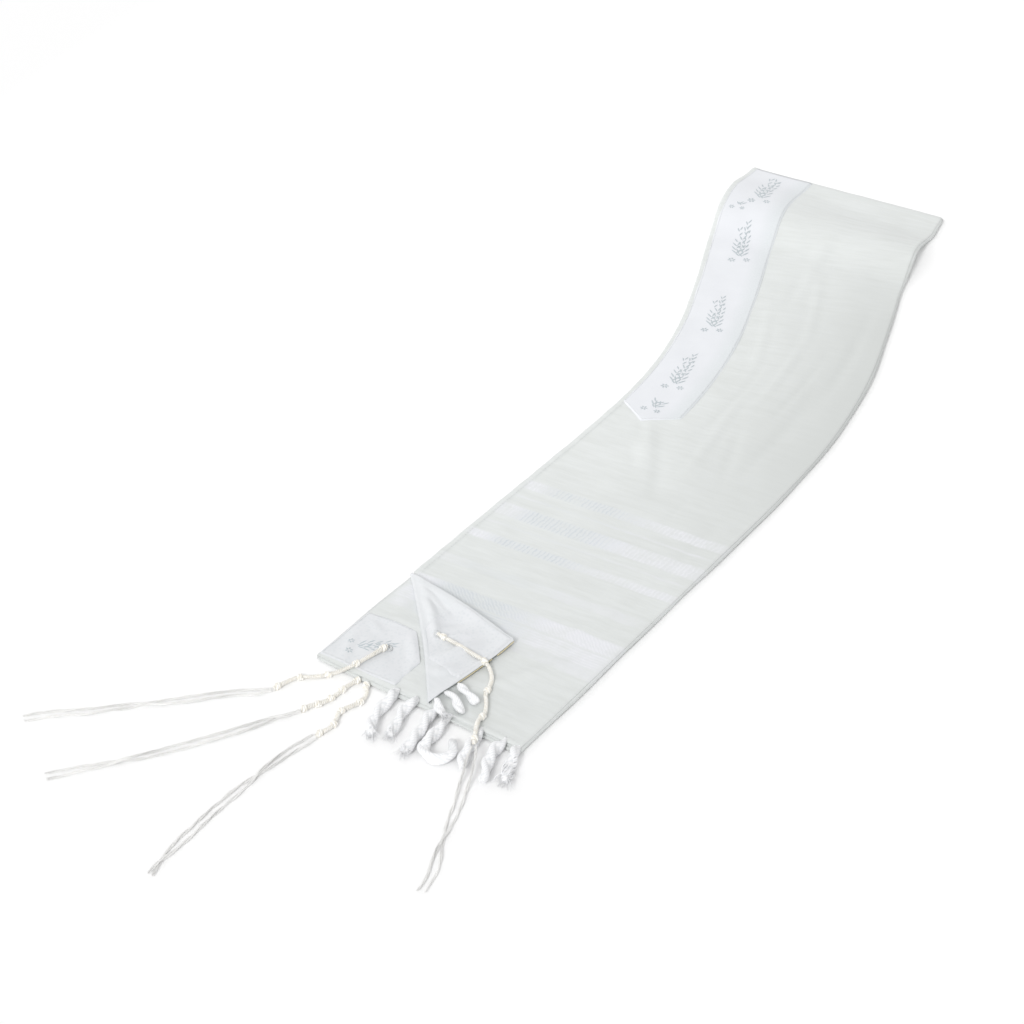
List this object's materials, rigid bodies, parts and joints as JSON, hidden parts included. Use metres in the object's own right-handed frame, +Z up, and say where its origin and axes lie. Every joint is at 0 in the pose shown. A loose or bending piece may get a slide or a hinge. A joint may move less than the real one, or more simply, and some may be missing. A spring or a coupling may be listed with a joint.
{
  "type": "folded tallit prayer shawl",
  "caption": "White-on-white woven prayer shawl, folded and laid flat with a corner turned back, with knotted corner tassels and fringe.",
  "frame": {"origin": "on the floor, under the middle of the shawl without its corner tassels", "axes": "+X along the folded strip from the fringed end towards the crosswise fold, +Y towards its hemmed long edge, +Z up"},
  "size_m": [1.3837, 0.4133, 0.0162],
  "materials": {
    "cloth": "white-on-white woven acrylic and rayon, soft satin sheen",
    "patch_satin": "white jacquard satin with a small leaf ground",
    "neckband_satin": "smooth bluish white satin with silver-grey sprigs",
    "fringe_yarn": "soft twisted white yarn with frayed ends",
    "tzitzit_yarn": "twisted off-white wool cord"
  },
  "bodies": {
    "root": {"hidden_layers": "cloth", "showing_layer": "cloth", "turned_corner": "cloth", "corner_patch_lower": "patch_satin", "corner_patch_turned": "patch_satin", "neckband": "neckband_satin", "fringe_1": "fringe_yarn", "fringe_2": "fringe_yarn", "fringe_3": "fringe_yarn", "fringe_4": "fringe_yarn", "fringe_5": "fringe_yarn", "fringe_6": "fringe_yarn", "fringe_7": "fringe_yarn", "fringe_turned_1": "fringe_yarn", "fringe_turned_2": "fringe_yarn", "fringe_turned_3": "fringe_yarn", "tzitzit_1_knots": "tzitzit_yarn", "tzitzit_1_strands": "tzitzit_yarn", "tzitzit_2_knots": "tzitzit_yarn", "tzitzit_2_strands": "tzitzit_yarn", "tzitzit_3_knots": "tzitzit_yarn", "tzitzit_3_strands": "tzitzit_yarn", "tzitzit_4_knots": "tzitzit_yarn", "tzitzit_4_strands": "tzitzit_yarn"}
  },
  "joints": []
}
